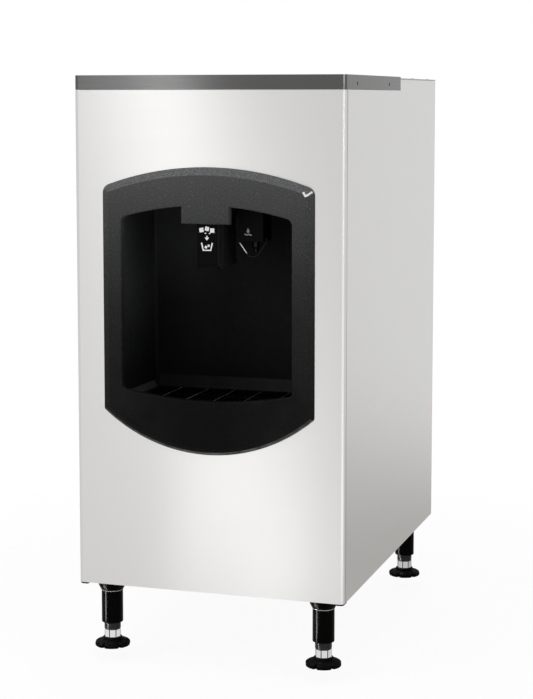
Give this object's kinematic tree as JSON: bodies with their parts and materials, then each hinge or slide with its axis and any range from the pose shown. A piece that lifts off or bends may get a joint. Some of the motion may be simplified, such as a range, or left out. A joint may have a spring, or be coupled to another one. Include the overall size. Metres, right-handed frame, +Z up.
{
  "type": "ice and water dispenser",
  "caption": "Floor-standing stainless cabinet on levelling legs with an arched black alcove, a push chute for ice, a water outlet with a wire lever, a drip grille and a paddle-wheel ice bin.",
  "frame": {"origin": "on the floor, under the middle of the whole dispenser's outline", "axes": "+X to the dispenser's right as its user faces the front, +Y from the front to the back, +Z up"},
  "size_m": [0.559, 0.839, 1.168],
  "materials": {
    "stainless": "satin stainless sheet",
    "galvanised": "galvanised sheet",
    "chrome": "bright plated",
    "brass": "machined",
    "trim_grey": "satin dark grey",
    "black_moulded": "fine leather-grain black",
    "black_gloss": "gloss black",
    "white_moulded": "food-grade moulded white",
    "acetal": "natural acetal",
    "motor_grey": "cast and painted grey",
    "rubber": "matt black"
  },
  "bodies": {
    "cabinet": {"front_panel": "stainless", "left_side_panel": "stainless", "right_side_panel": "stainless", "back_panel": "galvanised", "base_pan": "galvanised", "left_corner_post": "galvanised", "right_corner_post": "galvanised", "top_trim": "trim_grey", "top_deck": "stainless", "drop_collar": "white_moulded", "bezel": "black_moulded", "alcove_housing": "black_moulded", "drip_sink": "black_moulded", "drain_hose": "rubber", "chute_pivot_pin": "chrome", "chute_bracket": "galvanised", "ice_throat": "white_moulded", "gate_solenoid": "motor_grey", "ice_switch": "black_moulded", "ice_bin": "white_moulded", "bin_shelf": "galvanised", "shaft_bearing": "acetal", "gearbox_mount": "galvanised", "gearbox": "motor_grey", "gear_motor": "motor_grey", "water_valve": "black_moulded", "water_nozzle": "chrome", "water_solenoid_valve": "white_moulded", "water_tube": "white_moulded", "water_inlet_fitting": "brass", "drain_fitting": "black_moulded", "power_gland": "black_moulded", "control_box": "galvanised", "control_box_lid": "galvanised", "front_left_leg": "black_gloss", "front_right_leg": "black_gloss", "back_left_leg": "black_gloss", "back_right_leg": "black_gloss"},
    "chute": {"ice_chute": "black_gloss"},
    "switch_button": {"ice_switch_button": "acetal"},
    "gate": {"gate_flap": "white_moulded", "gate_crank": "chrome"},
    "plunger": {"solenoid_plunger": "chrome"},
    "wheel": {"paddle_wheel": "white_moulded", "agitator": "stainless", "drive_shaft": "stainless"},
    "lever": {"water_lever": "chrome"},
    "grille": {"drip_grille": "black_moulded"},
    "front_left_foot": {"front_left_foot_stem": "chrome", "front_left_foot_pad": "rubber"},
    "front_right_foot": {"front_right_foot_stem": "chrome", "front_right_foot_pad": "rubber"},
    "back_left_foot": {"back_left_foot_stem": "chrome", "back_left_foot_pad": "rubber"},
    "back_right_foot": {"back_right_foot_stem": "chrome", "back_right_foot_pad": "rubber"}
  },
  "joints": [
    {"name": "chute_push", "type": "hinge", "parent": "cabinet", "child": "chute", "pos_m": [0, -0.398, 0.932], "axis": [1, 0, 0], "range_deg": [0, 8], "stiffness_Nm_per_rad": 0.6, "springref_deg": -8.59},
    {"name": "button_press", "type": "slide", "parent": "cabinet", "child": "switch_button", "axis": [0, 0, 1], "range_m": [0, 0.0045]},
    {"name": "gate_swing", "type": "hinge", "parent": "cabinet", "child": "gate", "pos_m": [0, -0.1915, 1.033], "axis": [-1, 0, 0], "range_deg": [0, 70], "stiffness_Nm_per_rad": 0.01, "springref_deg": -28.65},
    {"name": "plunger_slide", "type": "slide", "parent": "cabinet", "child": "plunger", "axis": [0, 1, 0], "range_m": [0, 0.021]},
    {"name": "wheel_turn", "type": "hinge", "parent": "cabinet", "child": "wheel", "pos_m": [0, -0.0437, 0.875], "axis": [0, 1, 0], "continuous": true},
    {"name": "lever_push", "type": "hinge", "parent": "cabinet", "child": "lever", "pos_m": [0.08, -0.3645, 0.849], "axis": [1, 0, 0], "range_deg": [0, 14], "stiffness_Nm_per_rad": 0.01, "springref_deg": -11.46},
    {"name": "grille_lift", "type": "slide", "parent": "cabinet", "child": "grille", "axis": [0, 0, 1], "range_m": [0, 0.06]},
    {"name": "front_left_foot_level", "type": "slide", "parent": "cabinet", "child": "front_left_foot", "axis": [0, 0, -1], "range_m": [-0.008, 0.025]},
    {"name": "front_right_foot_level", "type": "slide", "parent": "cabinet", "child": "front_right_foot", "axis": [0, 0, -1], "range_m": [-0.008, 0.025]},
    {"name": "back_left_foot_level", "type": "slide", "parent": "cabinet", "child": "back_left_foot", "axis": [0, 0, -1], "range_m": [-0.008, 0.025]},
    {"name": "back_right_foot_level", "type": "slide", "parent": "cabinet", "child": "back_right_foot", "axis": [0, 0, -1], "range_m": [-0.008, 0.025]}
  ],
  "couplings": [
    {"joint": "button_press", "follows": "chute_push", "m_per_rad": 0.0311},
    {"joint": "plunger_slide", "follows": "gate_swing", "m_per_rad": 0.0169}
  ]
}
